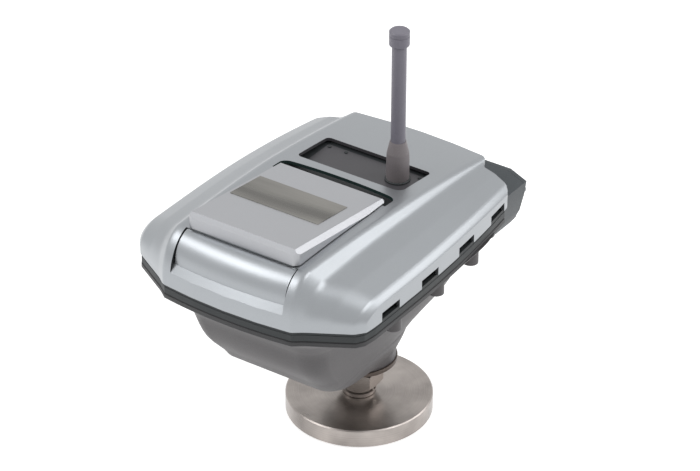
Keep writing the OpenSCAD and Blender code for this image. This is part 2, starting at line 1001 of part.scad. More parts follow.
module display_bezel() {
    color(dark)
        difference() {
            round_plate([-52, -184], [52, -72], 4, 282, 5);
            round_plate([-46, -164], [46, -94], 2, 284, 10);
            round_plate([-42, -160], [42, -98], 2, 280, 10);
        }
}

module display_glass() {
    color([0.75, 0.85, 0.85, 0.4])
        round_plate([-45.8, -163.8], [45.8, -94.2], 2, 284, 2);
}

module display_module() {
    color([0.55, 0.62, 0.5])
        union() {
            round_plate([-41.5, -159.5], [41.5, -98.5], 1, 276, 8);
            round_plate([-50, -172], [50, -86], 1, 275.4, 2.6);
        }
}

// ---------------------------------------------------------------- inside

module radar_module() {
    color("lightslategray")
        difference() {
            union() {
                translate([0, 0, tub_floor_z])
                    cylinder(r = module_base_r, h = guide_top - tub_floor_z);
                round_plate([-30, -44], [30, 24], 4, guide_top, module_h);
            }
            translate([0, 0, guide_top - 20])
                cylinder(r = neck_bore - guide_play, h = 20);
        }
}

module card_frame() {
    color("silver")
        difference() {
            round_plate([-58, -126], [58, 44], 10, frame_z, frame_t);
            round_plate([-40, -112], [40, -50], 4, frame_z - 1, frame_t + 2);
        }
}

module card(z) {
    union() {
        round_plate([-card_corner[0], card_corner[1]], [card_corner[0], card_corner[2]], 2, z, card_t);
        children();
    }
}

module processor_board() {
    color(board_green)
        card(card_z[0])
            union() {
                block([-20, -90, card_z[0]], [16, -54, card_z[0] + 5]);
                block([26, -40, card_z[0]], [44, 20, card_z[0] + 8]);
                block([-46, -30, card_z[0]], [-22, 10, card_z[0] + 4]);
            }
}

module power_board() {
    color(board_green)
        card(card_z[1])
            union() {
                block([-48, -100, card_z[1]], [-8, -60, card_z[1] + 15]);
                translate([24, -84, card_z[1]])
                    cylinder(r = 10, h = 15);
                translate([24, -54, card_z[1]])
                    cylinder(r = 10, h = 15);
                block([-30, 0, card_z[1]], [30, 30, card_z[1] + 12]);
            }
}

module radio_board() {
    color(board_green)
        card(card_z[2])
            union() {
                block([14, -10, card_z[2]], [54, 30, card_z[2] + 8]);
                translate([mast_x, mast_y, card_z[2]])
                    cylinder(r = 4, h = 22);
            }
}

module board_spacers() {
    levels = [
        [frame_z + frame_t, card_z[0]], [card_z[0] + card_t, card_z[1]], [card_z[1] + card_t, card_z[2]]
    ];
    color("gold")
        both_sides()
            for (y = spacer_y) {
                for (l = levels)
                    translate([spacer_x, y, l[0]])
                        cylinder(r = spacer_r, h = l[1] - l[0]);
                translate([spacer_x, y, card_z[2] + card_t])
                    cylinder(r = spacer_r + 0.4, h = 2);
            }
}

// ---------------------------------------------------------------- terminal compartment

module terminal_gasket() {
    color("black")
        translate([0, rear_y - terminal_cover_t, 0])
            rotate([90, 0, 0])
                linear_extrude(terminal_gasket_t)
                    difference() {
                        polygon(chunk_points(0.4));
                        polygon(chunk_points(chunk_wall));
                        for (p = lid_screw_places)
                            translate(p)
                                circle(screw_r + 0.2);
                    }
}

module terminal_cover() {
    color(cast_grey)
        difference() {
            chunk(0.4, rear_y - terminal_cover_t, rear_y);
            for (p = lid_screw_places)
                translate([p[0], rear_y - 10, p[1]])
                    rotate([-90, 0, 0])
                        cylinder(r = screw_r + 0.1, h = 20);
        }
}

module terminal_cover_screws() {
    reach = terminal_cover_t + terminal_gasket_t + thread_depth;
    color("silver")
        for (p = lid_screw_places)
            translate([p[0], rear_y, p[1]])
                rotate([-90, 0, 0])
                    difference() {
                        union() {
                            cylinder(r = 4, h = 2.4);
                            translate([0, 0, -reach])
                                cylinder(r = screw_r, h = reach + 0.4);
                        }
                        translate([0, 0, 1])
                            cylinder(r = 1.6, h = 3, $fn = 6);
                    }
}

module terminal_rail() {
    color("silver")
        difference() {
            block([-66, chunk_hollow_y, 200], [66, 103, 220]);
            block([-70, chunk_hollow_y + 1.5, 205], [70, 104, 215]);
        }
}

module terminal_blocks() {
    color([0.55, 0.58, 0.6])
        for (x = [-60:10:50])
            difference() {
                block([x + 0.5, 103, 196], [x + 9.5, 122, 224]);
                translate([x + 5, 119, 210])
                    rotate([-90, 0, 0])
                        cylinder(r = 2.4, h = 5);
            }
}

module compartment_feedthrough() {
    color("dimgray")
        block([70, chunk_hollow_y, 196], [82, chunk_hollow_y + 8, 224]);
}

module entry_plugs() {
    z = chunk_floor - boss_drop;
    color("dimgray")
        for (x = plug_x)
            translate([x, entry_y, z])
                difference() {
                    union() {
                        cylinder(r = entry_hole_r - entry_play, h = 12);
                        translate([0, 0, -3])
                            cylinder(r = plug_flange_r, h = 3);
                    }
                    translate([0, 0, -4])
                        cylinder(r = 5.5, h = 9, $fn = 6);
                }
}

// Hexagonal adapter from the casting's wide entry down to the gland's thread
module entry_adapter() {
    z = chunk_floor - boss_drop;
    color("dimgray")
        translate([0, entry_y, z])
            difference() {
                union() {
                    cylinder(r = entry_hole_r - entry_play, h = adapter_shank);
                    translate([0, 0, -adapter_len])
                        cylinder(r = adapter_hex_r, h = adapter_len, $fn = 6);
                }
                translate([0, 0, -adapter_len - 1])
                    cylinder(d = entry_d, h = adapter_len + 1);
                translate([0, 0, -1])
                    cylinder(r = adapter_passage_r, h = adapter_shank + 2);
            }
}

module earth_clamp() {
    color("gold")
        translate(earth_at)
            rotate([0, -90, 0])
                difference() {
                    union() {
                        translate([0, 0, -6])
                            cylinder(r = screw_r, h = 8);
                        cylinder(r = 5, h = 2);
                        translate([0, 0, 2])
                            cylinder(r = 4, h = 3, $fn = 6);
                    }
                    translate([0, 0, 3])
                        cylinder(r = 1.2, h = 3, $fn = 6);
                }
}

flange_disc();
process_seal();
waveguide();
neck_tube();
union_nut();
neck_port_plug();
collar_ring();
lower_housing();
rim_gasket();
inner_cover();
cover_screws();
outer_cover();
front_fairing();
deck_plate();
deck_screws();
antenna_seat();
antenna_base();
antenna_rod();
antenna_cap();
display_lid();
lid_nameplate();
lid_bumpers();
hinge_brackets();
hinge_pins();
display_bezel();
display_glass();
display_module();
radar_module();
card_frame();
processor_board();
power_board();
radio_board();
board_spacers();
terminal_gasket();
terminal_cover();
terminal_cover_screws();
terminal_rail();
terminal_blocks();
compartment_feedthrough();
entry_plugs();
entry_adapter();
earth_clamp();
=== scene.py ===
import json
from math import cos, pi, radians, sin

import bmesh
import bpy
from mathutils import Matrix, Vector


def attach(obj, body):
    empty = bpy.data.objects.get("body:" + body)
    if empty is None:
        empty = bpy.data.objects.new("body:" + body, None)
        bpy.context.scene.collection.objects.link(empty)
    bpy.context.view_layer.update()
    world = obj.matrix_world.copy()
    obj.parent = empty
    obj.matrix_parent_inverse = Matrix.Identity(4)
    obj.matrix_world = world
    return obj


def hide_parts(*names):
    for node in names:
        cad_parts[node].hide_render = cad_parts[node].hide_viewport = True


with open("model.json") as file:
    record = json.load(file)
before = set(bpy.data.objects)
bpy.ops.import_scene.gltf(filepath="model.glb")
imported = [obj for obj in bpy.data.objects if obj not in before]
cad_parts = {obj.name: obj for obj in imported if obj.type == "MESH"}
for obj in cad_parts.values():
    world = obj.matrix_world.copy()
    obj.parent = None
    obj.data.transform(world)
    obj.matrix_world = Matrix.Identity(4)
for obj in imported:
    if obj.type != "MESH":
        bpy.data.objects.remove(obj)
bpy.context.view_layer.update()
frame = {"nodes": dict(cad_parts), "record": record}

nodes = frame["nodes"]
mm = 0.001

print("scene: camera, floor and light")

view = {
    "place": (1.66202, -2.46798, 2.05514),
    "right": (0.82594, 0.56374, 0.00447),
    "up": (-0.30072, 0.43384, 0.84933),
    "lens": 180.0,
    "sensor": 36.0,
    "clipEnd": 50.0,
}
studio = {
    "floorColour": (0.93, 0.93, 0.93, 1.0),
    "floorRoughness": 0.9,
    "floorEdge": 6.0,        # from the middle to each side
    "floorDrop": 0.0004,     # keeps the floor clear of the flange's underside
    "floorGlow": 0.56,       # what the camera adds, so that the floor runs out to white
    "floorGloss": 0.7,       # the same for what metal reflects
    "skyLight": 0.5,
    "target": (0.0, -0.06, 0.25),
    "lampDistance": 2.0,
    "lamps": {
        # direction from the target, size and power
        "frontLamp": ((-0.48, -0.51, 0.71), (1.4, 0.9), 14.0),
        "sideLamp": ((0.62, 0.20, 0.74), (1.1, 0.8), 8.0),
        "rearLamp": ((0.58, 0.67, 0.45), (1.2, 0.7), 6.0),
    },
}
white = (1.0, 1.0, 1.0, 1.0)


def makeCamera():
    right = Vector(view["right"]).normalized()
    up = Vector(view["up"])
    up = (up - right * up.dot(right)).normalized()
    back = right.cross(up)
    data = bpy.data.cameras.new("camera")
    data.lens = view["lens"]
    data.sensor_width = view["sensor"]
    data.clip_end = view["clipEnd"]
    camera = bpy.data.objects.new("camera", data)
    turn = Matrix((right, up, back)).transposed().to_4x4()
    camera.matrix_world = Matrix.Translation(view["place"]) @ turn
    bpy.context.scene.collection.objects.link(camera)
    bpy.context.scene.camera = camera


def makeLamp(name, direction, size, power):
    data = bpy.data.lights.new(name, "AREA")
    data.shape = "RECTANGLE"
    data.size, data.size_y = size
    data.energy = power
    lamp = bpy.data.objects.new(name, data)
    target = Vector(studio["target"])
    lamp.location = target + Vector(direction).normalized() * studio["lampDistance"]
    lamp.rotation_euler = (lamp.location - target).to_track_quat("Z", "Y").to_euler()
    bpy.context.scene.collection.objects.link(lamp)


def whiteForCamera(tree, forCamera=1.0, forGloss=1.0):
    # a share for rays that show the backdrop, and 0 for the ones that light the object
    path = tree.nodes.new("ShaderNodeLightPath")
    rays = {"Is Camera Ray": forCamera, "Is Glossy Ray": forGloss, "Is Transmission Ray": forCamera}
    shares = []
    for ray, share in rays.items():
        scaled = tree.nodes.new("ShaderNodeMath")
        scaled.operation = "MULTIPLY"
        scaled.inputs[1].default_value = share
        tree.links.new(path.outputs[ray], scaled.inputs[0])
        shares.append(scaled.outputs[0])
    result = shares[0]
    for share in shares[1:]:
        higher = tree.nodes.new("ShaderNodeMath")
        higher.operation = "MAXIMUM"
        tree.links.new(result, higher.inputs[0])
        tree.links.new(share, higher.inputs[1])
        result = higher.outputs[0]
    return result


def makeWorld():
    world = bpy.data.worlds.new("studio")
    world.use_nodes = True
    tree = world.node_tree
    back = tree.nodes["Background"]
    strength = tree.nodes.new("ShaderNodeMapRange")
    strength.inputs["To Min"].default_value = studio["skyLight"]
    strength.inputs["To Max"].default_value = 1.0
    tree.links.new(whiteForCamera(tree), strength.inputs["Value"])
    tree.links.new(strength.outputs["Result"], back.inputs["Strength"])
    back.inputs["Color"].default_value = white
    bpy.context.scene.world = world


def makeFloor():
    mesh = bpy.data.meshes.new("floor")
    edge = studio["floorEdge"]
    corners = ((-edge, -edge, 0), (edge, -edge, 0), (edge, edge, 0), (-edge, edge, 0))
    mesh.from_pydata(corners, [], [(0, 1, 2, 3)])
    floor = bpy.data.objects.new("floor", mesh)
    floor.location.z = -studio["floorDrop"]
    bpy.context.scene.collection.objects.link(floor)
    material = bpy.data.materials.new("floor")
    material.use_nodes = True
    tree = material.node_tree
    shader = tree.nodes["Principled BSDF"]
    shader.inputs["Base Color"].default_value = studio["floorColour"]
    shader.inputs["Roughness"].default_value = studio["floorRoughness"]
    shader.inputs["Specular IOR Level"].default_value = 0.0
    shader.inputs["Emission Color"].default_value = white
    glow = whiteForCamera(tree, studio["floorGlow"], studio["floorGloss"])
    tree.links.new(glow, shader.inputs["Emission Strength"])
    mesh.materials.append(material)


makeCamera()
makeWorld()
makeFloor()
for name, (direction, size, power) in studio["lamps"].items():
    makeLamp(name, direction, size, power)
bpy.context.scene.view_settings.view_transform = "Standard"

print("scene: finishes")

noiseRange = (0.3, 0.7)      # where most of a noise's values lie
broadDetail = 3.0
# painted reflection: the broad noise drawn out into slanting dark and bright bands across the polished
# nameplate
paintedReflection = {"turn": -28, "stretch": 0.12, "detail": 1.0}      # the nameplate's slanting bands
coatRoughness = 0.15
roughnessShare = 0.2         # how far a finish's roughness rises, as a share of its own


def newGroup(name, numbers, colours=(), outputs=()):
    tree = bpy.data.node_groups.new(name, "ShaderNodeTree")
    for socket, value in numbers:
        made = tree.interface.new_socket(socket, in_out="INPUT", socket_type="NodeSocketFloat")
        made.default_value = value
    for socket, value in colours:
        made = tree.interface.new_socket(socket, in_out="INPUT", socket_type="NodeSocketColor")
        made.default_value = value
    for socket, kind in outputs:
        tree.interface.new_socket(socket, in_out="OUTPUT", socket_type=kind)
    return tree, tree.nodes.new("NodeGroupInput"), tree.nodes.new("NodeGroupOutput")


def noiseNode(tree, scaleSocket, detail, coordinates):
    noise = tree.nodes.new("ShaderNodeTexNoise")
    noise.inputs["Detail"].default_value = detail
    tree.links.new(scaleSocket, noise.inputs["Scale"])
    tree.links.new(coordinates, noise.inputs["Vector"])
    return noise.outputs["Fac"]


def shadeColour(tree, colour, fac, spread):
    # brightens and darkens the colour around its own value
    ramp = tree.nodes.new("ShaderNodeMapRange")
    ramp.inputs["From Min"].default_value = noiseRange[0]
    ramp.inputs["From Max"].default_value = noiseRange[1]
    low = tree.nodes.new("ShaderNodeMath")
    low.operation = "SUBTRACT"
    low.inputs[0].default_value = 1.0
    high = tree.nodes.new("ShaderNodeMath")
    high.operation = "ADD"
    high.inputs[0].default_value = 1.0
    tree.links.new(spread, low.inputs[1])
    tree.links.new(spread, high.inputs[1])
    tree.links.new(fac, ramp.inputs["Value"])
    tree.links.new(low.outputs[0], ramp.inputs["To Min"])
    tree.links.new(high.outputs[0], ramp.inputs["To Max"])
    scale = tree.nodes.new("ShaderNodeVectorMath")
    scale.operation = "SCALE"
    tree.links.new(colour, scale.inputs[0])
    tree.links.new(ramp.outputs["Result"], scale.inputs["Scale"])
    return scale.outputs["Vector"]


def bumpNode(tree, height, strength, distance):
    bump = tree.nodes.new("ShaderNodeBump")
    bump.inputs["Distance"].default_value = distance
    tree.links.new(strength, bump.inputs["Strength"])
    tree.links.new(height, bump.inputs["Height"])
    return bump.outputs["Normal"]


def roughnessNode(tree, fac, base, spread):
    ramp = tree.nodes.new("ShaderNodeMapRange")
    ramp.inputs["From Min"].default_value = noiseRange[0]
    ramp.inputs["From Max"].default_value = noiseRange[1]
    high = tree.nodes.new("ShaderNodeMath")
    high.operation = "ADD"
    tree.links.new(base, high.inputs[0])
    tree.links.new(spread, high.inputs[1])
    tree.links.new(base, ramp.inputs["To Min"])
    tree.links.new(high.outputs[0], ramp.inputs["To Max"])
    tree.links.new(fac, ramp.inputs["Value"])
    return ramp.outputs["Result"]


plainStretch = (1.0, 1.0, 1.0)
surfaceOutputs = (
    ("Colour", "NodeSocketColor"),
    ("Roughness", "NodeSocketFloat"),
    ("Normal", "NodeSocketVector"),
)


def makeSurfaceGroup(name, stretch, turned, detail, bumpDistance, slant=False):
    # colour, roughness and normal that vary with one fine and one broad noise
    # slant draws the broad one out into slanting bands of painted reflection
    tree, source, target = newGroup(
        name,
        (("Fine Scale", 900.0), ("Broad Scale", 9.0), ("Fine Spread", 0.05), ("Broad Spread", 0.03),
         ("Base Roughness", 0.4), ("Roughness Spread", 0.08), ("Bump", 0.1)),
        (("Base Colour", (0.5, 0.5, 0.5, 1.0)),),
        surfaceOutputs,
    )
    links = tree.links
    place = tree.nodes.new("ShaderNodeTexCoord").outputs["Object"]
    fineVector = place
    if turned:
        # rings about the Z axis: distance from the axis and height stand in for X and Z
        split = tree.nodes.new("ShaderNodeSeparateXYZ")
        links.new(place, split.inputs[0])
        flat = tree.nodes.new("ShaderNodeCombineXYZ")
        links.new(split.outputs["X"], flat.inputs["X"])
        links.new(split.outputs["Y"], flat.inputs["Y"])
        radius = tree.nodes.new("ShaderNodeVectorMath")
        radius.operation = "LENGTH"
        links.new(flat.outputs[0], radius.inputs[0])
        ring = tree.nodes.new("ShaderNodeCombineXYZ")
        links.new(radius.outputs["Value"], ring.inputs["X"])
        links.new(split.outputs["Z"], ring.inputs["Z"])
        fineVector = ring.outputs[0]
    elif stretch != plainStretch:
        mapping = tree.nodes.new("ShaderNodeMapping")
        mapping.inputs["Scale"].default_value = stretch
        links.new(place, mapping.inputs["Vector"])
        fineVector = mapping.outputs["Vector"]
    fine = noiseNode(tree, source.outputs["Fine Scale"], detail, fineVector)
    broadVector = place
    if slant:
        bands = tree.nodes.new("ShaderNodeMapping")
        bands.inputs["Rotation"].default_value = (0.0, 0.0, radians(paintedReflection["turn"]))
        bands.inputs["Scale"].default_value = (paintedReflection["stretch"], 1.0, 1.0)
        links.new(place, bands.inputs["Vector"])
        broadVector = bands.outputs["Vector"]
    broadShare = paintedReflection["detail"] if slant else broadDetail
    broad = noiseNode(tree, source.outputs["Broad Scale"], broadShare, broadVector)
    colour = shadeColour(tree, source.outputs["Base Colour"], fine, source.outputs["Fine Spread"])
    colour = shadeColour(tree, colour, broad, source.outputs["Broad Spread"])
    links.new(colour, target.inputs["Colour"])
    rough = roughnessNode(tree, broad, source.outputs["Base Roughness"], source.outputs["Roughness Spread"])
    links.new(rough, target.inputs["Roughness"])
    links.new(bumpNode(tree, fine, source.outputs["Bump"], bumpDistance), target.inputs["Normal"])
    return tree


surfaceGroups = {
    "paint": makeSurfaceGroup("metalFlakePaint", plainStretch, False, 2.0, 0.0004),
    "cast": makeSurfaceGroup("castGrain", plainStretch, False, 5.0, 0.0008),
    "turned": makeSurfaceGroup("turnedMetal", plainStretch, True, 3.0, 0.0003),
    "brushed": makeSurfaceGroup("brushedMetal", (0.02, 1.0, 1.0), False, 3.0, 0.0002),
    "plate": makeSurfaceGroup("slantedPaintedReflection", (0.02, 1.0, 1.0), False, 3.0, 0.0002, True),
    "moulded": makeSurfaceGroup("mouldedPlastic", plainStretch, False, 2.0, 0.0003),
}

# fine and broad give each noise's scale and how far it lightens and darkens the colour
finishes = {
    "cover_silver": {"group": "paint", "colour": (0.335, 0.352, 0.370), "metallic": 0.82, "rough": 0.32,
                     "coat": 0.1, "fine": (2600.0, 0.05), "broad": (7.0, 0.02), "bump": 0.05},
    # lighter than the cover's silver: painted light for the brighter light on the lid's front face
    "lid_silver": {"group": "paint", "colour": (0.39, 0.397, 0.416), "metallic": 0.70, "rough": 0.30,
                   "coat": 0.1, "fine": (2600.0, 0.05), "broad": (7.0, 0.02), "bump": 0.05},
    "cast_dark": {"group": "cast", "colour": (0.078, 0.073, 0.076), "metallic": 0.0, "rough": 0.46,
                  "coat": 0.0, "fine": (700.0, 0.10), "broad": (12.0, 0.07), "bump": 0.22},
    # near-black rim under the cover's silver edge: its dark joint and painted shade for the shadow that the
    # edge casts
    "rim_joint_and_shade": {"group": "cast", "colour": (0.030, 0.030, 0.032), "metallic": 0.0, "rough": 0.5,
                 "coat": 0.0, "fine": (700.0, 0.08), "broad": (12.0, 0.05), "bump": 0.15},
    "cast_blue": {"group": "cast", "colour": (0.052, 0.061, 0.068), "metallic": 0.0, "rough": 0.5,
                  "coat": 0.0, "fine": (700.0, 0.08), "broad": (12.0, 0.05), "bump": 0.18},
    "collar_bronze": {"group": "turned", "colour": (0.085, 0.062, 0.05), "metallic": 0.3, "rough": 0.38,
                      "coat": 0.0, "fine": (900.0, 0.12), "broad": (20.0, 0.08), "bump": 0.1},
    "mast_foot": {"group": "moulded", "colour": (0.205, 0.184, 0.190), "metallic": 0.0, "rough": 0.42,
                  "coat": 0.0, "fine": (900.0, 0.05), "broad": (25.0, 0.05), "bump": 0.05},
    "stainless": {"group": "turned", "colour": (0.345, 0.315, 0.296), "metallic": 0.95, "rough": 0.27,
                  "coat": 0.0, "fine": (1500.0, 0.18), "broad": (26.0, 0.26), "bump": 0.18},
    # near-black for the deck screws, and painted shade on the walls of the cover's opening and pocket
    "inner_dark": {"group": "cast", "colour": (0.020, 0.024, 0.026), "metallic": 0.0, "rough": 0.55,
                   "coat": 0.0, "fine": (900.0, 0.10), "broad": (20.0, 0.08), "bump": 0.12},
    # near-black green for the slot's walls: painted shade in the slot's depth
    "slot_dark": {"group": "cast", "colour": (0.008, 0.026, 0.024), "metallic": 0.0, "rough": 0.6,
                  "coat": 0.0, "fine": (900.0, 0.10), "broad": (20.0, 0.08), "bump": 0.1},
    "gasket": {"group": "moulded", "colour": (0.014, 0.015, 0.016), "metallic": 0.0, "rough": 0.7,
               "coat": 0.0, "fine": (1200.0, 0.10), "broad": (20.0, 0.05), "bump": 0.1},
    "screw_steel": {"group": "cast", "colour": (0.30, 0.30, 0.31), "metallic": 0.9, "rough": 0.35,
                    "coat": 0.0, "fine": (900.0, 0.08), "broad": (40.0, 0.06), "bump": 0.05},
    # the plate's wide broad spread paints its bands of reflection into the colour
    "plate_metal": {"group": "plate", "colour": (0.215, 0.208, 0.192), "metallic": 0.95, "rough": 0.26,
                    "coat": 0.0, "fine": (1600.0, 0.06), "broad": (38.0, 0.42), "bump": 0.04},
    # the deck's own dark colour, which on the window's walls is also painted shade inside the recess
    "deck_panel": {"group": "moulded", "colour": (0.058, 0.056, 0.062), "metallic": 0.0, "rough": 0.42,
                   "coat": 0.0, "fine": (1100.0, 0.06), "broad": (18.0, 0.05), "bump": 0.08},
    "mast": {"group": "moulded", "colour": (0.185, 0.176, 0.212), "metallic": 0.0, "rough": 0.4,
             "coat": 0.0, "fine": (900.0, 0.05), "broad": (25.0, 0.05), "bump": 0.05},
    "lcd": {"group": "moulded", "colour": (0.36, 0.42, 0.31), "metallic": 0.0, "rough": 0.25,
            "coat": 0.0, "fine": (1600.0, 0.04), "broad": (30.0, 0.03), "bump": 0.02},
    "module_can": {"group": "brushed", "colour": (0.52, 0.54, 0.55), "metallic": 0.9, "rough": 0.38,
                   "coat": 0.0, "fine": (900.0, 0.06), "broad": (20.0, 0.05), "bump": 0.05},
    "board": {"group": "moulded", "colour": (0.03, 0.16, 0.07), "metallic": 0.0, "rough": 0.4,
              "coat": 0.2, "fine": (700.0, 0.12), "broad": (60.0, 0.10), "bump": 0.05},
    "brass": {"group": "cast", "colour": (0.60, 0.43, 0.17), "metallic": 0.95, "rough": 0.32,
              "coat": 0.0, "fine": (900.0, 0.07), "broad": (40.0, 0.06), "bump": 0.05},
    "terminal_plastic": {"group": "moulded", "colour": (0.26, 0.28, 0.30), "metallic": 0.0, "rough": 0.45,
                         "coat": 0.0, "fine": (900.0, 0.05), "broad": (30.0, 0.04), "bump": 0.06},
    "ptfe": {"group": "moulded", "colour": (0.82, 0.82, 0.80), "metallic": 0.0, "rough": 0.4,
             "coat": 0.0, "fine": (700.0, 0.03), "broad": (30.0, 0.03), "bump": 0.04},
}


def makeFinish(name):
    facts = finishes[name]
    material = bpy.data.materials.new(name)
    material.use_nodes = True
    tree = material.node_tree
    shader = tree.nodes["Principled BSDF"]
    shader.inputs["Metallic"].default_value = facts["metallic"]
    shader.inputs["Coat Weight"].default_value = facts["coat"]
    shader.inputs["Coat Roughness"].default_value = coatRoughness
    surface = tree.nodes.new("ShaderNodeGroup")
    surface.node_tree = surfaceGroups[facts["group"]]
    surface.inputs["Base Colour"].default_value = (*facts["colour"], 1.0)
    surface.inputs["Fine Scale"].default_value = facts["fine"][0]
    surface.inputs["Fine Spread"].default_value = facts["fine"][1]
    surface.inputs["Broad Scale"].default_value = facts["broad"][0]
    surface.inputs["Broad Spread"].default_value = facts["broad"][1]
    surface.inputs["Base Roughness"].default_value = facts["rough"]
    surface.inputs["Roughness Spread"].default_value = facts["rough"] * roughnessShare
    surface.inputs["Bump"].default_value = facts["bump"]
    tree.links.new(surface.outputs["Colour"], shader.inputs["Base Color"])
    tree.links.new(surface.outputs["Roughness"], shader.inputs["Roughness"])
    tree.links.new(surface.outputs["Normal"], shader.inputs["Normal"])
    return material


glass = {"ior": 1.5, "noiseScale": 60.0, "rough": (0.02, 0.08), "tint": (0.82, 0.92)}


def makeGlass():
    material = bpy.data.materials.new("glass")
    material.use_nodes = True
    tree = material.node_tree
    shader = tree.nodes["Principled BSDF"]
    shader.inputs["Transmission Weight"].default_value = 1.0
    shader.inputs["IOR"].default_value = glass["ior"]
    noise = tree.nodes.new("ShaderNodeTexNoise")
    noise.inputs["Scale"].default_value = glass["noiseScale"]
    rough = tree.nodes.new("ShaderNodeMapRange")
    rough.inputs["To Min"].default_value = glass["rough"][0]
    rough.inputs["To Max"].default_value = glass["rough"][1]
    tint = tree.nodes.new("ShaderNodeMapRange")
    tint.inputs["To Min"].default_value = glass["tint"][0]
    tint.inputs["To Max"].default_value = glass["tint"][1]
    tree.links.new(noise.outputs["Fac"], rough.inputs["Value"])
    tree.links.new(noise.outputs["Fac"], tint.inputs["Value"])
    tree.links.new(rough.outputs["Result"], shader.inputs["Roughness"])
    tree.links.new(tint.outputs["Result"], shader.inputs["Base Color"])
    return material


materials = {name: makeFinish(name) for name in finishes}
materials["glass"] = makeGlass()


def dress(piece, finish):
    piece.data.materials.clear()
    piece.data.materials.append(materials[finish])


slotOf = {part["node"]: part["material_slot"] for part in frame["record"]["subparts"]}
ownFinish = {"terminal_cover": "cast_blue", "deck_screws": "inner_dark", "antenna_base": "mast_foot"}
for name, node in nodes.items():
    dress(node, ownFinish.get(name, slotOf[name]))


def newPiece(name, points, faces):
    # points are in millimetres, as are all sizes from here on
    mesh = bpy.data.meshes.new(name)
    mesh.from_pydata([tuple(c * mm for c in p) for p in points], [], faces)
    piece = bpy.data.objects.new(name, mesh)
    bpy.context.scene.collection.objects.link(piece)
    body = bmesh.new()
    body.from_mesh(mesh)
    bmesh.ops.recalc_face_normals(body, faces=body.faces)
    body.to_mesh(mesh)
    body.free()
    return piece


def loftForm(name, loops):
    # closed skin through loops of equal length, with its two ends as the first two faces
    count = len(loops[0])
    last = len(loops) - 1
    faces = [tuple(range(count)), tuple(last * count + q for q in range(count))]
    faces += [
        (r * count + q, r * count + (q + 1) % count, (r + 1) * count + (q + 1) % count, (r + 1) * count + q)
        for r in range(last) for q in range(count)
    ]
    return newPiece(name, [p for loop in loops for p in loop], faces)


def prism(name, outline, low, high, axis="z"):
    # outline extruded along an axis: x takes (y, z), y takes (x, z) and z takes (x, y)
    def place(p, h):
        return {"x": (h, p[0], p[1]), "y": (p[0], h, p[1]), "z": (p[0], p[1], h)}[axis]

    return loftForm(name, [[place(p, h) for p in outline] for h in (low, high)])


def roundedBox(low, high, radii, steps=8):
    # outline of a rectangle; radii in the order front left, front right, rear right, rear left
    corners = (
        (low[0], low[1], 180, 1, 1), (high[0], low[1], 270, -1, 1),
        (high[0], high[1], 0, -1, -1), (low[0], high[1], 90, 1, -1),
    )
    outline = []
    for (x, y, start, sx, sy), r in zip(corners, radii):
        for step in range(steps + 1):
            a = radians(start + 90 * step / steps)
            outline.append((x + sx * r + r * cos(a), y + sy * r + r * sin(a)))
    return outline


def applyModifiers(piece):
    bpy.context.view_layer.update()
    graph = bpy.context.evaluated_depsgraph_get()
    mesh = bpy.data.meshes.new_from_object(piece.evaluated_get(graph))
    piece.modifiers.clear()
    piece.data = mesh


def cut(piece, tool, operation="DIFFERENCE"):
    modifier = piece.modifiers.new("cut", "BOOLEAN")
    modifier.operation = operation
    modifier.solver = "EXACT"
    modifier.material_mode = "TRANSFER"
    modifier.object = tool
    applyModifiers(piece)
    bpy.data.objects.remove(tool)


def smoothFaces(piece, angle=30):
    piece.data.shade_smooth()
    piece.data.set_sharp_from_angle(angle=radians(angle))


def weightNormals(piece):
    modifier = piece.modifiers.new("areaNormals", "WEIGHTED_NORMAL")
    modifier.keep_sharp = True


def roundEdges(piece, width, angle=35):
    bevel = piece.modifiers.new("roundedEdges", "BEVEL")
    bevel.width = width * mm
    bevel.segments = 2
    bevel.limit_method = "ANGLE"
    bevel.angle_limit = radians(angle)
    bevel.use_clamp_overlap = True
    bevel.harden_normals = True


def tidyMesh(piece, distance=0.02):
    body = bmesh.new()
    body.from_mesh(piece.data)
    bmesh.ops.remove_doubles(body, verts=body.verts, dist=distance * mm)
    bmesh.ops.dissolve_degenerate(body, dist=distance * mm, edges=body.edges)
    body.to_mesh(piece.data)
    body.free()


def finishPiece(piece, body, node):
    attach(piece, body)
    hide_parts(node)


cover = {
    "halfWidth": 135.0, "sideBendY": -110.0, "sideCurve": 2800.0,
    "noseY": 233.0, "cornerX": 75.0, "cornerY": -227.5, "stepX": 85.0, "stepY": -220.0,
    "cheekX": 127.0, "cheekY": -195.5, "endSlope": 1.4, "sideFrontY": -172.0,
    "spineTop": 295.5, "spineHalf": 80.0, "crestY": -170.0, "spineRadius": 1760.0,
    "taperY": -50, "spineTaper": 0.03,
    "bandFront": 12.3, "bandLoss": 8, "bandSpan": 260,       # the chamfer beside the spine
    "shoulderBendY": -60.0, "shoulderCurve": 5200.0, "edgeZ": 266.6, "edgeIn": 6.0, "edgeDrop": 5.6,
    "noseBaseZ": 247.0,
    "wall": 3.5, "skirtZ": 241.0,
    # lines from the centre to the skirt's top: where each ends at the rear and at the nose, and its
    # roll over the nose
    "lineRear": (111, 109, 104.5, 103, 99, 91, 90.5, 88, 83, 79),
    "lineNoseX": (0, 38, 73, 75.5, 84, 86.5, 106, 126, 131.5, 133),
    "lineRoll": (34, 34, 33, 32, 34, 36, 38, 34, 28, 25),
    "flatLines": 3,          # lines of the flat spine, which the wall doesn't draw in
    "cornerReach": (1.5, 0.6),
    "cutZ": (260, 320),
    "openingHalf": 56.0, "openingY": (-192.0, -46.0), "openingCorners": (6, 6, 6, 6),
    "slotHalf": 66.8, "slotY": (-57.0, -37.0), "slotBow": 4.0, "slotEnd": 6.0,
    "windowHalf": 62.0, "windowY": (-22.0, 33.0), "windowCorners": (5, 9, 5, 5),
    "notchStart": (-162.5, -94, -24, 43), "notchLength": 30.0, "notchHeight": 9.5, "notchX": (100, 150),
    "terminalPlay": 0.4, "terminalY": (84, 150),
    "levelLow": (-200, -300, 200), "levelHigh": (200, 200),      # cuts the foot level
    "mainStations": 64, "rollStations": 26,
    "smoothAngle": 28,
}
